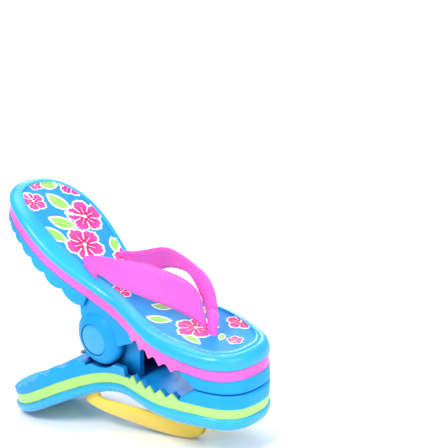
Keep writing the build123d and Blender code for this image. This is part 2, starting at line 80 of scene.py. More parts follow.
# ------------------------------------------------------------------ the sandal's shape, as in the CAD
LENGTH = 140.0
TOE_X, TOE_Z = 78.2, 8.8
SLOPE = [(0, -5.0), (25, 5.1), (50, 7.2), (70, 15.1), (90, 27.6), (112, 33.0), (140, 10.0)]
WIDTH = [(12, 16.99), (40, 19.39), (70, 11.6), (98, 16.5), (125, 19.8)]
TOE_R, TOE_N, HEEL_R, HEEL_N = 15.0, 2.5, 40.0, 2.3
STRIPE = 2.2
TOP = [(0, 8.4), (25, 8.3), (45, 7.2), (65, 6.6), (140, 6.2)]
RECESS = 0.9


def pchip(xk, yk, x):
    xk, yk = np.asarray(xk, float), np.asarray(yk, float)
    h, d = np.diff(xk), np.diff(yk) / np.diff(xk)
    m = np.zeros(len(xk))
    for i in range(1, len(xk) - 1):
        if d[i - 1] * d[i] > 0:
            w1, w2 = 2 * h[i] + h[i - 1], h[i] + 2 * h[i - 1]
            m[i] = (w1 + w2) / (w1 / d[i - 1] + w2 / d[i])
    m[0], m[-1] = d[0], d[-1]
    x = np.clip(x, xk[0], xk[-1])
    i = np.clip(np.searchsorted(xk, x) - 1, 0, len(h) - 1)
    t = (x - xk[i]) / h[i]
    return ((1 + 2 * t) * (1 - t) ** 2 * yk[i] + t * (1 - t) ** 2 * h[i] * m[i]
            + t * t * (3 - 2 * t) * yk[i + 1] + t * t * (t - 1) * h[i] * m[i + 1])


_s = np.linspace(-12, 152, 1641)
_th = pchip([a for a, _ in SLOPE], np.radians([b for _, b in SLOPE]), _s)
_ds = _s[1] - _s[0]
_x = -np.concatenate([[0], np.cumsum((np.cos(_th)[1:] + np.cos(_th)[:-1]) / 2 * _ds)])
_z = np.concatenate([[0], np.cumsum((np.sin(_th)[1:] + np.sin(_th)[:-1]) / 2 * _ds)])
_x += TOE_X - np.interp(0, _s, _x)
_z += TOE_Z - np.interp(0, _s, _z)


def at(s, t):
    """Points at arc lengths s, heights t above the stripe's centre line. Returns x, z arrays."""
    a = np.interp(s, _s, _th)
    return np.interp(s, _s, _x) + t * np.sin(a), np.interp(s, _s, _z) + t * np.cos(a)


def top_t(s):
    return pchip([a for a, _ in TOP], [b for _, b in TOP], s)


_wk, _wv = np.array([a for a, _ in WIDTH], float), np.array([b for _, b in WIDTH], float)
_h = np.diff(_wk)
_A, _r = np.eye(5), np.zeros(5)
for _i in range(1, 4):
    _A[_i, _i - 1], _A[_i, _i], _A[_i, _i + 1] = _h[_i - 1], 2 * (_h[_i - 1] + _h[_i]), _h[_i]
    _r[_i] = 6 * ((_wv[_i + 1] - _wv[_i]) / _h[_i] - (_wv[_i] - _wv[_i - 1]) / _h[_i - 1])
_wm = np.linalg.solve(_A, _r)


def half_width(s):
    s = np.asarray(s, float)
    i = np.clip(np.searchsorted(_wk, s) - 1, 0, 3)
    h = _wk[i + 1] - _wk[i]
    a, b = (_wk[i + 1] - s) / h, (s - _wk[i]) / h
    w = a * _wv[i] + b * _wv[i + 1] + ((a ** 3 - a) * _wm[i] + (b ** 3 - b) * _wm[i + 1]) * h * h / 6
    u, v = np.clip(s / TOE_R, 0, 1), np.clip((LENGTH - s) / HEEL_R, 0, 1)
    return w * (1 - (1 - u) ** TOE_N) ** (1 / TOE_N) * (1 - (1 - v) ** HEEL_N) ** (1 / HEEL_N)


def smooth(x):
    x = np.clip(x, 0, 1)
    return x * x * (3 - 2 * x)


# ------------------------------------------------------------------ mesh helpers
def make_mesh(name, verts_mm, faces, lower=False, attrs=None, flip=False):
    v = np.asarray(verts_mm, float)
    if lower:
        v = v * np.array([1, -1, -1])
    me = bpy.data.meshes.new(name)
    me.from_pydata(row(v).tolist(), [], [list(f)[::-1] if flip else list(f) for f in faces])
    me.validate()
    me.update()
    for k, arr in (attrs or {}).items():
        arr = np.asarray(arr, np.float32)
        if arr.ndim == 1:
            a = me.attributes.new(k, "FLOAT", "POINT")
            a.data.foreach_set("value", arr)
        else:
            a = me.attributes.new(k, "FLOAT_VECTOR", "POINT")
            a.data.foreach_set("vector", arr.reshape(-1))
    me.polygons.foreach_set("use_smooth", [True] * len(me.polygons))
    ob = bpy.data.objects.new(name, me)
    bpy.context.scene.collection.objects.link(ob)
    return ob


def loops_to_faces(n_loops, n):
    faces = []
    for k in range(n_loops - 1):
        for i in range(n):
            j = (i + 1) % n
            faces.append((k * n + i, k * n + j, (k + 1) * n + j, (k + 1) * n + i))
    return faces


# ------------------------------------------------------------------ footbed
def outline_points():
    """Closed outline in (s, y): near side from toe to heel, then the far side back."""
    a = np.linspace(0, math.pi / 2, 46)
    toe = 16 * (1 - np.cos(a)) ** 1.35
    heel = LENGTH - 42 * (1 - np.cos(np.linspace(math.pi / 2, 0, 60))) ** 1.35
    mid = np.linspace(16, LENGTH - 42, 78)[1:-1]
    s = np.concatenate([toe, mid, heel])
    near = np.stack([s, -half_width(s)], 1)
    far = near[-2:0:-1] * np.array([1, -1])
    return np.concatenate([near, far])


OUT = outline_points()
N_OUT = len(OUT)
N_NEAR = N_OUT // 2 + 1


def footbed(name, lower):
    p = OUT
    m = np.stack([np.clip(p[:, 0], 17, LENGTH - 24), np.zeros(len(p))], 1)
    d = m - p
    L = np.linalg.norm(d, axis=1)
    d = d / L[:, None]
    s_out = p[:, 0]
    far_side = p[:, 1] > 0
    toe = smooth((24 - s_out) / 16)
    # the raised rim is wide along one side and narrow along the other
    near_rim = np.interp(s_out, [0, 10, 22, 40, 60, 78, 92, 110, 125, 136, 140], [8.4, 8.2, 7.0, 6.0, 5.2, 5.8, 7.2, 7.6, 7.0, 5.2, 4.4])
    far_rim = np.interp(s_out, [0, 4, 10, 17, 40, 80, 110, 130, 137, 140], [8.4, 7.6, 5.2, 3.6, 3.1, 2.7, 2.6, 2.7, 3.4, 4.4])
    rim = np.where(far_side, far_rim, near_rim)
    rim = sum(np.roll(rim, k) for k in range(-5, 6)) / 11
    top = top_t(s_out)
    rows, rimd = [], []

    def add(i, t, under=False):
        i = np.minimum(i, L * 0.985)
        q = p + d * i[:, None]
        x, z = at(q[:, 0], t)
        rows.append((np.stack([x, q[:, 1], z], 1), q, i))
        rimd.append(i * 0 - 9 if under else i - rim)

    o = np.ones(len(p))
    # underside, from the middle out to the wall
    floor_t = top - RECESS - 1.8
    for f in (0.985, 0.7, 0.4):
        add(2.4 + (L - 2.4) * f, floor_t, True)
    add(2.5 * o, floor_t, True)
    add(2.4 * o, floor_t - 0.1, True)
    add(2.4 * o, STRIPE * o + 0.02, True)
    add(0.6 * o, STRIPE * o + 0.0, True)
    # wall: a full, rounded section that stands out over the stripe
    over = 0.85 - 0.35 * toe
    b0 = STRIPE + 1.2
    A = np.minimum(4.2 - 0.9 * toe, rim * 0.8)
    B = top - b0
    add(0.34 * o, STRIPE * o + 0.03)
    add(0.10 - 0.25 * over, STRIPE * o + 0.2)
    add(-0.62 * over, STRIPE * o + 0.5)
    add(-0.90 * over, STRIPE * o + 0.85)
    n = 2.35
    for a in np.linspace(0, math.pi / 2, 15):
        ca, sa = math.cos(a) ** (2 / n), math.sin(a) ** (2 / n)
        add((A + over) * (1 - ca) - over, b0 + B * sa)
    # rim top to insole, with a soft crease round the toe
    for f in np.linspace(0.05, 1.0, 18):
        i = A + (rim - A) * f
        groove = 0.42 * toe * np.exp(-((f - 0.08) / 0.10) ** 2)
        roll = 0.22 * toe * np.exp(-((f - 0.42) / 0.2) ** 2)
        add(i, top - groove + roll - RECESS * smooth((f - 0.15 - 0.35 * toe) / (0.85 - 0.35 * toe)))
    # insole, to the middle
    for f in (0.04, 0.1, 0.18, 0.28, 0.4, 0.55, 0.7, 0.85, 1.0):
        i = rim + (L - rim) * f * 0.985
        add(i, top_t(p[:, 0] + d[:, 0] * np.minimum(i, L * 0.985)) - RECESS - 0.10 * math.sin(f * math.pi / 2))
    V = np.concatenate([r[0] for r in rows])
    plan = np.concatenate([np.column_stack([r[1], np.zeros(N_OUT)]) for r in rows])
    rd = np.concatenate(rimd)
    faces = loops_to_faces(len(rows), N_OUT)

    def cap(k, rev):
        base = k * N_OUT
        for i in range(1, N_NEAR - 2):
            a, b = base + i, base + i + 1
            c, e = base + (N_OUT - i - 1), base + (N_OUT - i)
            f = (a, b, c, e)
            faces.append(f[::-1] if rev else f)
        f = (base, base + 1, base + N_OUT - 1)
        faces.append(f[::-1] if rev else f)
        i = N_NEAR - 2
        f = (base + i, base + i + 1, base + i + 2)
        faces.append(f[::-1] if rev else f)

    cap(0, True)
    cap(len(rows) - 1, False)
    ob = make_mesh(name, V, faces, lower, {"plan": plan, "rimd": rd})
    return ob


# ------------------------------------------------------------------ straps
LEG_NEAR = [
    ((-8.2, -9.3, 29.6), (-1.4, -9.4, 25.6)), ((-9.2, -9.4, 33.2), (-0.4, -9.6, 28.2)), ((-3.0, -9.0, 35.6), (4.8, -10.3, 28.2)),
    ((4.2, -8.2, 36.9), (11.1, -11.0, 27.4)),
    ((15.3, -6.2, 38.1), (22.2, -10.2, 27.0)), ((25.1, -4.6, 38.8), (31.5, -8.8, 26.2)), ((38.9, -2.4, 37.8), (40.1, -6.6, 24.8)),
    ((47.1, -1.2, 34.0), (47.2, -3.6, 21.8)), ((49.9, -1.0, 28.0), (50.4, -2.0, 19.4)), ((52.0, -0.9, 20.0), (51.6, -1.2, 16.6)),
]
LEG_FAR = [
    ((-8.0, 10.3, 28.6), (-0.9, 10.4, 25.2)), ((-5.0, 10.3, 30.4), (3.6, 10.7, 26.6)), ((0.4, 10.0, 32.0), (9.0, 10.6, 27.2)),
    ((8.7, 9.5, 35.7), (15.0, 10.2, 28.5)),
    ((17.2, 8.6, 39.8), (20.0, 9.6, 31.0)), ((24.1, 7.6, 41.8), (25.0, 7.8, 33.4)), ((32.4, 6.2, 42.0), (31.2, 5.6, 35.6)),
    ((40.1, 4.8, 41.2), (37.0, 4.0, 36.4)), ((47.7, 3.4, 39.6), (41.8, 2.6, 34.8)), ((52.6, 2.5, 35.6), (46.6, 1.5, 30.2)),
    ((54.8, 2.1, 29.6), (50.0, 1.0, 24.6)), ((55.4, 1.8, 20.4), (51.4, 0.8, 16.8)),
]
LEG_LOW = [((a[0], a[1], a[2] - d), (b[0], b[1], b[2] - d * 0.8)) for (a, b), d in zip(LEG_NEAR, (0, 0.4, 1.2, 1.8, 2.5, 2.7, 2.4, 1.4, 0.5, 0))]


def flip_leg(leg):
    return [((a[0], -a[1], a[2]), (b[0], -b[1], b[2])) for a, b in leg]


def catmull(P, m):
    P = np.asarray(P, float)
    out = []
    n = len(P)
    for i in range(n - 1):
        p0, p1, p2, p3 = P[max(i - 1, 0)], P[i], P[i + 1], P[min(i + 2, n - 1)]
        for k in range(m):
            t = k / m
            out.append(0.5 * (2 * p1 + (p2 - p0) * t + (2 * p0 - 5 * p1 + 4 * p2 - p3) * t * t + (3 * p1 - p0 - 3 * p2 + p3) * t ** 3))
    out.append(P[-1])
    return np.array(out)


def leg_mesh(leg, thick, mark):
    """One strap leg: a crowned ribbon with rounded edges. Returns vertices, faces and the length along it."""
    P = catmull([list(a) + list(b) for a, b in leg], 28)
    mid = (P[:, :3] + P[:, 3:]) / 2
    ln = np.concatenate([[0], np.cumsum(np.linalg.norm(np.diff(mid, axis=0), axis=1))])
    n = int(ln[-1] / 0.32)
    q = np.linspace(0, ln[-1], n)
    P = np.stack([np.interp(q, ln, P[:, k]) for k in range(6)], 1)
    for _ in range(6):
        P[1:-1] = (P[:-2] + 2 * P[1:-1] + P[2:]) / 4
    A, B = P[:, :3], P[:, 3:]
    mid = (A + B) / 2
    T = np.gradient(mid, axis=0)
    T /= np.linalg.norm(T, axis=1)[:, None]
    W = B - A
    w = np.linalg.norm(W, axis=1)
    W /= w[:, None]
    Nn = np.cross(T, W)
    Nn /= np.linalg.norm(Nn, axis=1)[:, None]
    sec = []
    K = 9
    half = thick / 2
    for side in (1, -1):
        us = np.linspace(-0.5, 0.5, K) if side == 1 else np.linspace(0.5, -0.5, K)
        for u in us:
            e = (1 - (2 * abs(u)) ** 6) ** 0.5 if abs(u) < 0.5 else 0.0
            sec.append((u, side * (0.22 + 0.78 * e)))
    verts, along, across = [], [], []
    rib = 0.055 * np.sin(2 * math.pi * q / 1.05)
    for u, v in sec:
        crown = 0.35 * (1 - (2 * u) ** 2)
        h = half * v + crown + (rib * (1 if v > 0 else -1) * (1 - (2 * abs(u)) ** 8))
        verts.append(mid + W * (w * u)[:, None] + Nn * h[:, None])
        along.append(q)
        across.append(np.full(n, u))
    S = len(sec)
    V = np.stack(verts, 1).reshape(-1, 3)
    faces = []
    for i in range(n - 1):
        for k in range(S):
            kk = (k + 1) % S
            faces.append((i * S + k, i * S + kk, (i + 1) * S + kk, (i + 1) * S + k))
    faces.append(tuple(range(S))[::-1])
    faces.append(tuple((n - 1) * S + k for k in range(S)))
    vol_side = np.dot(np.cross(V[S] - V[0], V[1] - V[0]), Nn[0])
    return V, faces, np.stack(along, 1).reshape(-1), np.stack(across, 1).reshape(-1), vol_side


def strap(name, legs, lower):
    VV, FF, AA, CC = [], [], [], []
    base = 0
    for k, leg in enumerate(legs):
        V, F, a, c, _ = leg_mesh(leg, 1.7, k)
        FF += [tuple(base + i for i in f) for f in F]
        VV.append(V)
        AA.append(a)
        CC.append(c)
        base += len(V)
    # toe post: a rounded stem that the two legs run into
    sp = 26.0
    x0, z0 = (float(v) for v in at(sp, top_t(sp) - RECESS))
    an = float(np.interp(sp, _s, _th))
    n = np.array([math.sin(an), 0, math.cos(an)])
    f = np.array([math.cos(an), 0, -math.sin(an)])
    prof = [(1.9, -1.2, 2.5), (2.0, -0.1, 2.6), (1.75, 0.3, 2.45), (1.5, 0.8, 2.25), (1.4, 2.2, 2.2), (1.35, 4.5, 2.35), (1.2, 7.0, 2.6), (1.0, 9.5, 2.7), (0.5, 11.0, 1.5)]
    M = 28
    V = []
    for ry, h, rx in prof:
        for j in range(M):
            a = 2 * math.pi * j / M
            V.append(np.array([x0, 0.45, z0]) + f * (0.9 + rx * math.cos(a)) + n * h + np.array([0, ry * math.sin(a), 0]))
    F = []
    for i in range(len(prof) - 1):
        for j in range(M):
            k = (j + 1) % M
            F.append((i * M + j, i * M + k, (i + 1) * M + k, (i + 1) * M + j))
    F.append(tuple(range(M))[::-1])
    F.append(tuple((len(prof) - 1) * M + j for j in range(M)))
    FF += [tuple(base + i for i in q) for q in F]
    VV.append(np.array(V))
    AA.append(np.full(len(V), 0.3375))
    CC.append(np.zeros(len(V)))
    ob = make_mesh(name, np.concatenate(VV), FF, lower, {"along": np.concatenate(AA), "across": np.concatenate(CC)})
    return ob


# ------------------------------------------------------------------ spring
def spring(name):
    R, r, turns, Y = 5.0, 0.75, 4, 3.45
    leave = math.radians(60.6)
    turn = 2 * leave + 2 * math.pi * turns
    k = 72 * turns
    a = -leave + turn * np.linspace(0, 1, k)
    coil = np.stack([R * np.cos(a), -Y + 2 * Y * np.linspace(0, 1, k), R * np.sin(a)], 1)

    def leg(p, sgn):
        d = np.array([-math.sin(leave), 0, sgn * math.cos(leave)])
        q = [p + d * u for u in np.linspace(0.6, 22.5, 40)]
        # the end is bent into a small foot
        e, y = q[-1], np.array([0, -sgn * 1.0, 0])
        for t in np.linspace(0.25, 1, 5):
            q.append(e + d * 0.9 * math.sin(t * math.pi / 2) + y * 1.6 * (1 - math.cos(t * math.pi / 2)))
        return np.array(q)

    path = np.concatenate([leg(coil[0], -1)[::-1], coil, leg(coil[-1], 1)])
    for _ in range(2):
        path[1:-1] = (path[:-2] + 2 * path[1:-1] + path[2:]) / 4
    T = np.gradient(path, axis=0)
    T /= np.linalg.norm(T, axis=1)[:, None]
    nrm = np.cross(T[0], [0, 1, 0.1])
    nrm /= np.linalg.norm(nrm)
    M = 14
    V = []
    for i in range(len(path)):
        nrm = nrm - T[i] * np.dot(nrm, T[i])
        nrm /= np.linalg.norm(nrm)
        b = np.cross(T[i], nrm)
        rr = r * (0.82 if i in (0, len(path) - 1) else 1)
        for j in range(M):
            t = 2 * math.pi * j / M
            V.append(path[i] + rr * (nrm * math.cos(t) + b * math.sin(t)))
    F = []
    for i in range(len(path) - 1):
        for j in range(M):
            k2 = (j + 1) % M
            F.append((i * M + j, i * M + k2, (i + 1) * M + k2, (i + 1) * M + j))
    F.append(tuple(range(M))[::-1])
    F.append(tuple((len(path) - 1) * M + j for j in range(M)))
    return make_mesh(name, np.array(V), F)


# ------------------------------------------------------------------ materials
def lin(r, g, b):
    return tuple(((c / 255 + 0.055) / 1.055) ** 2.4 if c > 10 else c / 255 / 12.92 for c in (r, g, b)) + (1.0,)


class G:
    """Small helper that writes node trees."""

    def __init__(self, tree):
        self.t = tree

    def n(self, kind, **kw):
        nd = self.t.nodes.new(kind)
        for k, v in kw.items():
            setattr(nd, k, v)
        return nd

    def link(self, a, b):
        self.t.links.new(a, b)

    def put(self, sock, v):
        if isinstance(v, bpy.types.NodeSocket):
            self.link(v, sock)
        else:
            sock.default_value = v

    def m(self, op, a, b=0.0, c=None, clamp=False):
        nd = self.n("ShaderNodeMath", operation=op, use_clamp=clamp)
        self.put(nd.inputs[0], a)
        self.put(nd.inputs[1], b)
        if c is not None:
            self.put(nd.inputs[2], c)
        return nd.outputs[0]

    def step(self, x, lo, hi):
        nd = self.n("ShaderNodeMapRange", interpolation_type="SMOOTHSTEP", clamp=True)
        self.put(nd.inputs[0], x)
        nd.inputs[1].default_value, nd.inputs[2].default_value = lo, hi
        nd.inputs[3].default_value, nd.inputs[4].default_value = 0.0, 1.0
        return nd.outputs[0]

    def mix(self, f, a, b):
        nd = self.n("ShaderNodeMix", data_type="RGBA")
        self.put(nd.inputs[0], f)
        self.put(nd.inputs[6], a)
        self.put(nd.inputs[7], b)
        return nd.outputs[2]

    def noise(self, vec, scale, detail=3.0, rough=0.5):
        nd = self.n("ShaderNodeTexNoise")
        self.put(nd.inputs["Vector"], vec)
        nd.inputs["Scale"].default_value = scale
        nd.inputs["Detail"].default_value = detail
        nd.inputs["Roughness"].default_value = rough
        return nd.outputs["Fac"]


def new_mat(name):
    mat = bpy.data.materials.new(name)
    mat.use_nodes = True
    mat.node_tree.nodes.clear()
    g = G(mat.node_tree)
    out = g.n("ShaderNodeOutputMaterial")
    bs = g.n("ShaderNodeBsdfPrincipled")
    g.link(bs.outputs[0], out.inputs[0])
    return mat, g, bs


def bumped(g, bs, height, dist, strength=1.0, bevel=0.0):
    b = g.n("ShaderNodeBump")
    b.inputs["Strength"].default_value = strength
    b.inputs["Distance"].default_value = dist
    g.put(b.inputs["Height"], height)
    if bevel:
        bv = g.n("ShaderNodeBevel", samples=6)
        bv.inputs["Radius"].default_value = bevel
        g.link(bv.outputs[0], b.inputs["Normal"])
    g.link(b.outputs[0], bs.inputs["Normal"])


def ao_recess_mask(g, reach):
    """Ambient-occlusion mask for painted shade: one in the open, falling to zero in deep recesses."""
    ao = g.n("ShaderNodeAmbientOcclusion", samples=6)
    ao.inputs["Distance"].default_value = reach
    return g.step(ao.outputs["AO"], 0.10, 0.80)


def moulded(name, rgb, rough=0.3, bevel=0.00045, deep=0.86, grain=0.5, coat=0.0, sss=0.06, recess_shade=None):
    """Moulded plastic: slight flow marks in the colour, a fine satin grain, handling wear in the gloss, and
    optional painted shade in recesses.
    """
    mat, g, bs = new_mat(name)
    obj = g.n("ShaderNodeTexCoord").outputs["Object"]
    flow = g.noise(obj, 26.0, 3.0, 0.55)
    fine = g.noise(obj, 2600.0, 2.0, 0.6)
    wear = g.noise(obj, 120.0, 5.0, 0.65)
    base = lin(*rgb)
    dark = tuple(c * deep for c in base[:3]) + (1.0,)
    light = tuple(min(1, c * 1.05 + 0.006) for c in base[:3]) + (1.0,)
    col = g.mix(g.step(flow, 0.3, 0.7), dark, light)
    # painted shade: where ambient occlusion finds a recess, the colour is pulled to the given dark navy and the
    # gloss is cut
    if recess_shade:
        cav = ao_recess_mask(g, 0.022)
        col = g.mix(cav, lin(*recess_shade), col)
        g.put(bs.inputs["Specular IOR Level"], g.m("MULTIPLY", cav, 0.22))
    g.put(bs.inputs["Base Color"], col)
    r = g.m("ADD", rough - 0.05, g.m("MULTIPLY", g.step(wear, 0.42, 0.74), 0.16))
    g.put(bs.inputs["Roughness"], r)
    bs.inputs["IOR"].default_value = 1.49
    bs.inputs["Coat Weight"].default_value = coat
    bs.inputs["Coat Roughness"].default_value = 0.12
    bs.inputs["Subsurface Weight"].default_value = sss
    bs.inputs["Subsurface Radius"].default_value = (0.6, 0.9, 1.0)
    bs.inputs["Subsurface Scale"].default_value = 0.0012
    h = g.m("ADD", g.m("MULTIPLY", fine, grain), g.m("MULTIPLY", wear, 0.35))
    bumped(g, bs, h, 0.000012, 0.5, bevel)
    return mat


BLUE = (18, 158, 232)
RIM = (30, 170, 232)


def nearest(g, plan, motifs):
    """Own coordinates of the closest motif: each is (cx, cy, turn, length, width). Returns its u, v scaled so the motif spans one."""
    best, bu = None, None
    for k, (cx, cy, turn, ru, rv) in enumerate(motifs):
        mp = g.n("ShaderNodeMapping", vector_type="TEXTURE")
        g.link(plan, mp.inputs[0])
        mp.inputs["Location"].default_value = (cx, cy, 0.0)
        mp.inputs["Rotation"].default_value = (0.0, 0.0, turn)
        mp.inputs["Scale"].default_value = (ru, rv, 1.0)
        ln = g.n("ShaderNodeVectorMath", operation="LENGTH")
        g.link(mp.outputs[0], ln.inputs[0])
        if best is None:
            best, bu = ln.outputs["Value"], mp.outputs[0]
            continue
        less = g.m("LESS_THAN", ln.outputs["Value"], best)
        mx = g.n("ShaderNodeMix", data_type="VECTOR")
        g.link(less, mx.inputs[0])
        g.link(bu, mx.inputs[4])
        g.link(mp.outputs[0], mx.inputs[5])
        bu = mx.outputs[1]
        best = g.m("MINIMUM", ln.outputs["Value"], best)
    return bu


def flowers(g, plan, col, motifs, soft):
    """Five-petalled flowers with a white outline, veins, a dark eye and a white stamen."""
    uv = nearest(g, plan, [(x, y, t, r, r) for x, y, t, r in motifs])
    sep = g.n("ShaderNodeSeparateXYZ")
    g.link(uv, sep.inputs[0])
    X, Y = sep.outputs[0], sep.outputs[1]
    wob = g.noise(uv, 3.0, 2.0)
    r = g.m("SQRT", g.m("ADD", g.m("MULTIPLY", X, X), g.m("MULTIPLY", Y, Y)))
    th = g.m("ARCTAN2", Y, X)
    half = g.m("MULTIPLY", th, 2.5)
    c = g.m("ABSOLUTE", g.m("COSINE", half))
    s = g.m("ABSOLUTE", g.m("SINE", half))
    frill = g.m("MULTIPLY", g.m("COSINE", g.m("MULTIPLY", th, 20.0)), 0.02)
    edge = g.m("ADD", g.m("ADD", 0.68, g.m("MULTIPLY", g.m("POWER", c, 0.5), 0.33)), g.m("ADD", frill, g.m("MULTIPLY", g.m("SUBTRACT", wob, 0.5), 0.2)))
    outer = g.step(g.m("SUBTRACT", edge, r), -soft, soft)
    inside = g.step(g.m("SUBTRACT", g.m("SUBTRACT", edge, 0.10), r), -soft, soft)
    gap = g.m("MULTIPLY", g.m("SUBTRACT", 1.0, g.step(g.m("MULTIPLY", g.m("MULTIPLY", c, 0.4), r), 0.014, 0.036)), g.step(r, 0.28, 0.34))
    vein = g.m("MULTIPLY", g.m("SUBTRACT", 1.0, g.step(g.m("MULTIPLY", g.m("MULTIPLY", s, 0.4), r), 0.004, 0.02)),
               g.m("MULTIPLY", g.step(r, 0.16, 0.20), g.m("SUBTRACT", 1.0, g.step(r, 0.52, 0.58))))
    eye = g.m("SUBTRACT", 1.0, g.step(r, 0.08, 0.12))
    fill = g.mix(g.step(r, 0.1, 0.9), MAGENTA, PINK)
    streak = g.m("ABSOLUTE", g.m("SINE", g.m("MULTIPLY", th, 12.5)))
    fill = g.mix(g.m("MULTIPLY", g.m("MULTIPLY", g.m("SUBTRACT", 1.0, g.step(streak, 0.1, 0.5)), 0.4), g.step(r, 0.2, 0.5)), fill, DEEP)
    col = g.mix(outer, col, WHITE)
    col = g.mix(g.m("MULTIPLY", g.m("MULTIPLY", outer, inside), g.m("SUBTRACT", 1.0, g.m("MAXIMUM", g.m("MAXIMUM", gap, vein), eye))), col, fill)
    av = g.m("ABSOLUTE", Y)
    dots = g.m("MULTIPLY", g.m("ABSOLUTE", g.m("SINE", g.m("MULTIPLY", X, 21.0))), g.m("MULTIPLY", g.step(X, 0.5, 0.7), 0.07))
    stalk = g.m("MULTIPLY", g.m("MULTIPLY", g.step(g.m("SUBTRACT", g.m("ADD", 0.045, dots), av), -0.012, 0.012), g.step(X, 0.0, 0.03)),
                g.m("SUBTRACT", 1.0, g.step(X, 1.06, 1.10)))
    return g.mix(stalk, col, WHITE)


def leaves(g, plan, col, motifs):
    """Curved lime leaves with a pale outline, a midrib and side veins."""
    uv = nearest(g, plan, [(x, y, t, L, W * 1.3) for x, y, t, L, W in motifs])
    sep = g.n("ShaderNodeSeparateXYZ")
    g.link(uv, sep.inputs[0])
    X, Y = sep.outputs[0], sep.outputs[1]
    v = g.m("SUBTRACT", Y, g.m("MULTIPLY", g.m("SUBTRACT", 1.0, g.m("MULTIPLY", X, X)), 0.18))
    av = g.m("ABSOLUTE", v)
    d = g.m("SUBTRACT", g.m("MULTIPLY", g.m("SUBTRACT", 1.0, g.m("MULTIPLY", X, X)), 0.78), av)
    outer = g.m("MULTIPLY", g.step(d, -0.30, -0.20), g.m("SUBTRACT", 1.0, g.step(g.m("ABSOLUTE", X), 1.05, 1.12)))
    inner = g.step(d, 0.0, 0.07)
    rib = g.m("MULTIPLY", g.m("SUBTRACT", 1.0, g.step(av, 0.02, 0.09)), 0.6)
    side = g.m("ABSOLUTE", g.m("SINE", g.m("ADD", g.m("MULTIPLY", X, 9.0), g.m("MULTIPLY", av, -5.0))))
    fill = g.mix(g.m("MULTIPLY", g.step(side, 0.75, 1.0), 0.4), LEAF_A, LEAF_B)
    fill = g.mix(rib, fill, (0.72, 0.90, 0.45, 1))
    col = g.mix(outer, col, WHITE)
    return g.mix(g.m("MULTIPLY", outer, inner), col, fill)


def arcs(g, plan, col, motifs):
    """Open lime rings, tapering toward their ends."""
    uv = nearest(g, plan, [(x, y, t, r, r) for x, y, t, r, _ in motifs])
    sep = g.n("ShaderNodeSeparateXYZ")
    g.link(uv, sep.inputs[0])
    X, Y = sep.outputs[0], sep.outputs[1]
    r = g.m("SQRT", g.m("ADD", g.m("MULTIPLY", X, X), g.m("MULTIPLY", Y, Y)))
    ang = g.m("ABSOLUTE", g.m("ARCTAN2", Y, X))
    w = g.m("SUBTRACT", 0.24, g.m("MULTIPLY", g.m("POWER", g.m("DIVIDE", ang, 2.1), 3.0), 0.13))
    d = g.m("SUBTRACT", w, g.m("ABSOLUTE", g.m("SUBTRACT", r, 0.78)))
    mask = g.m("MULTIPLY", g.step(d, -0.015, 0.02), g.m("SUBTRACT", 1.0, g.step(ang, 2.02, 2.08)))
    return g.mix(mask, col, ARC)


WHITE, MAGENTA, PINK, DEEP = lin(246, 248, 250), lin(222, 34, 112), lin(236, 84, 168), lin(180, 24, 92)
LEAF_A, LEAF_B, ARC = lin(134, 200, 92), lin(176, 228, 120), lin(186, 238, 104)

# motifs in the plan frame: arc length from the toe, then offset toward the far side, mm
FLOWERS = [(128.3, 15.2, 0.7, 5.6), (128.6, -5.8, 0.1, 5.4), (135.6, 2.0, 0.2, 3.2), (113.4, 9.6, -0.95, 8.3), (101.8, -0.4, -2.6, 9.0),
           (87.6, 12.4, 2.9, 6.4), (33.0, -1.0, 2.3, 8.8), (23.6, 15.4, 0.9, 6.0), (14.6, 3.0, -1.8, 3.6), (71.5, 5.5, 0.4, 4.2), (72.5, -5.2, 1.4, 4.6)]
LEAVES = [(124.0, 4.2, 2.80, 5.4, 2.5), (115.2, -2.0, 2.30, 5.6, 2.4), (111.0, -8.8, 2.75, 5.0, 2.1), (133.4, 7.2, 2.2, 3.8, 2.0),
          (48.2, -6.6, 2.62, 5.0, 2.2), (54.4, 1.8, 2.5, 4.4, 1.9), (27.8, -9.3, 0.05, 5.2, 1.6), (96.2, 11.6, 0.5, 3.8, 1.7),
          (82.5, 3.0, 0.6, 4.2, 1.8), (63.0, 6.0, 2.2, 3.8, 1.6), (40.5, 13.4, 2.5, 4.2, 1.8), (20.6, 1.0, 0.9, 2.6, 1.2), (84.0, -11.0, 0.2, 4.2, 1.6)]
ARCS = [(122.0, -1.5, 2.5, 9.6, 0), (101.0, 8.5, -0.6, 7.2, 0), (86.0, -6.0, 2.0, 5.6, 0), (66.0, 4.0, -0.9, 6.0, 0), (42.0, 8.0, 2.6, 6.6, 0),
        (37.0, -8.0, -0.4, 6.4, 0), (18.0, 0.0, 1.6, 8.0, 0)]


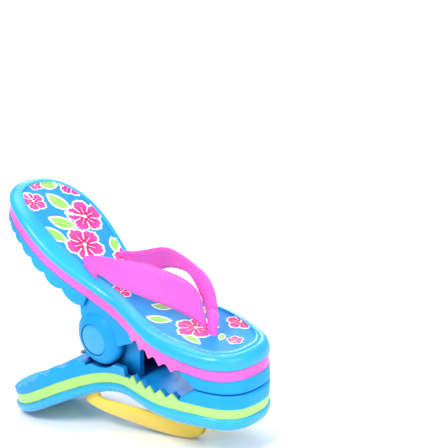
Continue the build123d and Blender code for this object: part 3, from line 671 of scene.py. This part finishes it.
def footbed_mat(name, rgb, insole, kind):
    mat, g, bs = new_mat(name)
    obj = g.n("ShaderNodeTexCoord").outputs["Object"]
    plan = g.n("ShaderNodeAttribute", attribute_name="plan").outputs["Vector"]
    rimd = g.n("ShaderNodeAttribute", attribute_name="rimd").outputs["Fac"]
    flow = g.noise(obj, 26.0, 3.0, 0.55)
    base = lin(*rgb)
    shell = g.mix(g.step(flow, 0.3, 0.7), tuple(c * 0.9 for c in base[:3]) + (1,), tuple(min(1, c * 1.04 + 0.005) for c in base[:3]) + (1,))
    floor = g.mix(g.step(flow, 0.3, 0.7), tuple(c * 0.94 for c in lin(*insole)[:3]) + (1,), lin(*insole))
    col = floor
    if kind == "flowers":
        col = leaves(g, plan, col, LEAVES)
        col = flowers(g, plan, col, FLOWERS, 0.014)
    else:
        col = arcs(g, plan, col, ARCS)
    mask = g.step(rimd, -0.45, -0.2)
    g.put(bs.inputs["Base Color"], g.mix(mask, shell, col))
    wear = g.noise(obj, 120.0, 5.0, 0.65)
    fine = g.noise(obj, 2600.0, 2.0, 0.6)
    r = g.m("ADD", 0.27, g.m("MULTIPLY", g.step(wear, 0.42, 0.74), 0.15))
    g.put(bs.inputs["Roughness"], g.m("ADD", r, g.m("MULTIPLY", mask, 0.26)))
    g.put(bs.inputs["Specular IOR Level"], g.m("SUBTRACT", 0.5, g.m("MULTIPLY", mask, 0.34)))
    bs.inputs["IOR"].default_value = 1.49
    bs.inputs["Subsurface Weight"].default_value = 0.06
    bs.inputs["Subsurface Radius"].default_value = (0.6, 0.9, 1.0)
    bs.inputs["Subsurface Scale"].default_value = 0.0012
    # the printed film stands a hair proud of the moulding, and the insole has a fine pebble grain
    edge = g.m("MULTIPLY", mask, 0.35)
    peb = g.n("ShaderNodeTexVoronoi", feature="SMOOTH_F1")
    g.put(peb.inputs["Vector"], plan)
    peb.inputs["Scale"].default_value = 1.7
    h = g.m("ADD", g.m("ADD", g.m("MULTIPLY", fine, 0.5), g.m("MULTIPLY", wear, 0.35)), g.m("ADD", edge, g.m("MULTIPLY", g.m("MULTIPLY", peb.outputs["Distance"], mask), 0.5)))
    bumped(g, bs, h, 0.00002, 0.6)
    return mat


def strap_mat(name, rgb, deep_tone_and_groove_shade):
    """Soft vinyl with fine cross ribs and a woven look between them, and painted shade in the grooves between the
    ribs.
    """
    mat, g, bs = new_mat(name)
    along = g.n("ShaderNodeAttribute", attribute_name="along").outputs["Fac"]
    across = g.n("ShaderNodeAttribute", attribute_name="across").outputs["Fac"]
    obj = g.n("ShaderNodeTexCoord").outputs["Object"]
    wave = g.m("SINE", g.m("MULTIPLY", along, 2 * math.pi / 1.05))
    rib = g.m("MULTIPLY", g.m("ADD", wave, 1.0), 0.5)
    warp = g.m("ABSOLUTE", g.m("SINE", g.m("MULTIPLY", across, 2 * math.pi * 9)))
    ns = g.noise(obj, 900.0, 3.0, 0.6)
    flow = g.noise(obj, 60.0, 3.0, 0.5)
    base = lin(*rgb)
    hem = g.step(g.m("ABSOLUTE", across), 0.42, 0.445)
    # painted shade: the grooves between the ribs are pulled up to 55% toward the deeper colour
    col = g.mix(g.m("MULTIPLY", g.m("SUBTRACT", 1.0, rib), 0.55), base, lin(*deep_tone_and_groove_shade))
    col = g.mix(g.m("MULTIPLY", g.step(flow, 0.35, 0.7), 0.22), col, lin(*deep_tone_and_groove_shade))
    col = g.mix(g.m("MULTIPLY", hem, 0.25), col, lin(*deep_tone_and_groove_shade))
    g.put(bs.inputs["Base Color"], col)
    g.put(bs.inputs["Roughness"], g.m("ADD", 0.42, g.m("MULTIPLY", ns, 0.16)))
    bs.inputs["Sheen Weight"].default_value = 0.18
    bs.inputs["Sheen Roughness"].default_value = 0.5
    bs.inputs["Subsurface Weight"].default_value = 0.10
    bs.inputs["Subsurface Radius"].default_value = (1.0, 0.6, 0.8)
    bs.inputs["Subsurface Scale"].default_value = 0.001
    h = g.m("ADD", g.m("MULTIPLY", rib, 0.55), g.m("ADD", g.m("MULTIPLY", g.m("MULTIPLY", warp, g.m("SUBTRACT", 1.0, hem)), 0.16), g.m("MULTIPLY", ns, 0.2)))
    bumped(g, bs, h, 0.00014, 0.7)
    return mat


def metal(name, rgb, rough=0.3, brushed=400.0):
    mat, g, bs = new_mat(name)
    obj = g.n("ShaderNodeTexCoord").outputs["Object"]
    mp = g.n("ShaderNodeMapping")
    mp.inputs["Scale"].default_value = (1.0, 6.0, 1.0)
    g.link(obj, mp.inputs[0])
    ns = g.noise(mp.outputs[0], brushed, 4.0, 0.6)
    tone = g.noise(obj, 90.0, 3.0, 0.5)
    base = lin(*rgb)
    g.put(bs.inputs["Base Color"], g.mix(tone, tuple(c * 0.75 for c in base[:3]) + (1,), base))
    bs.inputs["Metallic"].default_value = 1.0
    g.put(bs.inputs["Roughness"], g.m("ADD", rough - 0.08, g.m("MULTIPLY", ns, 0.2)))
    bumped(g, bs, ns, 0.00002, 0.5, 0.0001)
    return mat


# the frame's recesses get painted shade in dark navy
M_FRAME = moulded("frame_blue_moulded", BLUE, 0.46, bevel=0.00025, recess_shade=(4, 62, 132))
M_CAP = moulded("cap_blue_moulded", (34, 164, 232), 0.24)
M_PINK = moulded("stripe_pink_moulded", (228, 92, 196), 0.36, deep=0.9)
M_LIME = moulded("stripe_lime_moulded", (164, 218, 118), 0.36, deep=0.9)
M_TOP = footbed_mat("footbed_floral_print", RIM, (44, 148, 222), "flowers")
M_BOT = footbed_mat("footbed_arc_print", RIM, (30, 160, 228), "arcs")
# the second colour is the strap's deeper tone, also used as painted shade in the rib grooves
M_SPINK = strap_mat("strap_pink_ribbed", (246, 96, 214), (214, 48, 150))
M_SYEL = strap_mat("strap_yellow_ribbed", (244, 222, 84), (226, 176, 44))
M_PIN = metal("pin_zinc_steel", (186, 188, 192), 0.28)
M_WIRE = metal("spring_wire", (150, 152, 158), 0.34, 900.0)
M_SCREW = metal("screw_zinc_steel", (176, 178, 182), 0.3)


def paint(node, mat):
    o = nodes[node]
    if not o.material_slots:
        o.data.materials.append(mat)
    for sl in o.material_slots:
        sl.material = mat


for h in ("upper", "lower"):
    paint(f"{h}_sole_frame", M_FRAME)
    paint(f"{h}_hub_cap", M_CAP)
    paint(f"{h}_screws", M_SCREW)
    paint(f"{h}_stripe_band", M_PINK if h == "upper" else M_LIME)
paint("pivot_pin", M_PIN)
paint("pin_retainer", M_PIN)

# ------------------------------------------------------------------ pieces
for h, low in (("upper", False), ("lower", True)):
    fb = footbed(f"{h}_footbed_skin", low)
    fb.data.materials.append(M_BOT if low else M_TOP)
    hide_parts(f"{h}_footbed")
    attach(fb, f"{h}_half")
    legs = (LEG_LOW, flip_leg(LEG_LOW)) if low else (LEG_NEAR, LEG_FAR)
    st = strap(f"{h}_strap_ribbed", legs, low)
    st.data.materials.append(M_SYEL if low else M_SPINK)
    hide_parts(f"{h}_strap")
    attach(st, f"{h}_half")

sp = spring("torsion_spring_wire")
sp.data.materials.append(M_WIRE)
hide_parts("torsion_spring")
# the near leg pushes on the lower lever and the far leg on the upper one; the coil winds between them
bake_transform(sp)

# ------------------------------------------------------------------ floor, light, camera
scene = bpy.context.scene
me = bpy.data.meshes.new("floor")
S = 14.0
me.from_pydata([(-S, -S, 0), (S, -S, 0), (S, S, 0), (-S, S, 0)], [], [(0, 1, 2, 3)])
floor = bpy.data.objects.new("floor", me)
floor.location.z = float(cad_lo[2]) - 0.0002
scene.collection.objects.link(floor)
fm, g, bs = new_mat("floor_pale")
bs.inputs["Base Color"].default_value = (0.93, 0.93, 0.93, 1)
bs.inputs["Roughness"].default_value = 0.9
bs.inputs["Specular IOR Level"].default_value = 0.1
me.materials.append(fm)

world = bpy.data.worlds.new("studio")
scene.world = world
world.use_nodes = True
bg = world.node_tree.nodes["Background"]
bg.inputs[0].default_value = (0.97, 0.985, 1.0, 1)
wg = G(world.node_tree)
seen = wg.n("ShaderNodeLightPath").outputs["Is Camera Ray"]
wg.put(bg.inputs[1], wg.m("ADD", 0.60, wg.m("MULTIPLY", seen, 0.60)))

# the camera, from the view the clip is seen at: azimuth, elevation and roll in the clip frame
AZ, EL, ROLL = math.radians(45.19), math.radians(27.0), math.radians(-1.286)
FPX, IDIST, CX, CY = 2.4256, 0.000688, 116.88, 328.79
back = np.array([math.sin(AZ) * math.cos(EL), -math.cos(AZ) * math.cos(EL), math.sin(EL)])
right = np.array([math.cos(AZ), math.sin(AZ), 0.0])
upv = np.cross(back, right)
R2 = right * math.cos(ROLL) + upv * math.sin(ROLL)
U2 = -right * math.sin(ROLL) + upv * math.cos(ROLL)
dist = 1 / IDIST
eye_mm = back * dist
target_mm = R2 * (224 - CX) / FPX + U2 * (CY - 224) / FPX
eye, target = row(eye_mm), row(target_mm)
vd = target - eye
vd /= np.linalg.norm(vd)
upw = ROT @ U2
rx = np.cross(vd, upw)
rx /= np.linalg.norm(rx)
uy = np.cross(rx, vd)
cam_data = bpy.data.cameras.new("camera")
cam = bpy.data.objects.new("camera", cam_data)
scene.collection.objects.link(cam)
cam.matrix_world = Matrix(((rx[0], uy[0], -vd[0], eye[0]), (rx[1], uy[1], -vd[1], eye[1]), (rx[2], uy[2], -vd[2], eye[2]), (0, 0, 0, 1)))
cam_data.sensor_width = 36.0
cam_data.lens = 36.0 * FPX * dist / 448.0
cam_data.clip_start, cam_data.clip_end = 0.05, 60.0
scene.camera = cam

mid = (np.array(cad_lo) + np.array(cad_hi)) / 2


def area(name, offset, size, power, color=(1, 1, 1)):
    d = bpy.data.lights.new(name, "AREA")
    d.shape = "DISK"
    d.size = size
    d.energy = power
    d.color = color
    o = bpy.data.objects.new(name, d)
    o.location = Vector(mid + np.array(offset))
    o.rotation_mode = "QUATERNION"
    o.rotation_quaternion = (-Vector(offset)).to_track_quat("-Z", "Y")
    scene.collection.objects.link(o)


area("key", (0.15, -0.75, 0.85), 0.45, 9.0)
area("fill", (0.95, -0.25, 0.45), 0.8, 5.0)
area("top", (-0.25, 0.25, 1.1), 0.9, 6.0)
area("rim", (-0.6, 0.8, 0.5), 0.5, 4.0)

scene.view_settings.view_transform = "Standard"
scene.view_settings.look = "None"
scene.view_settings.exposure = 0.0
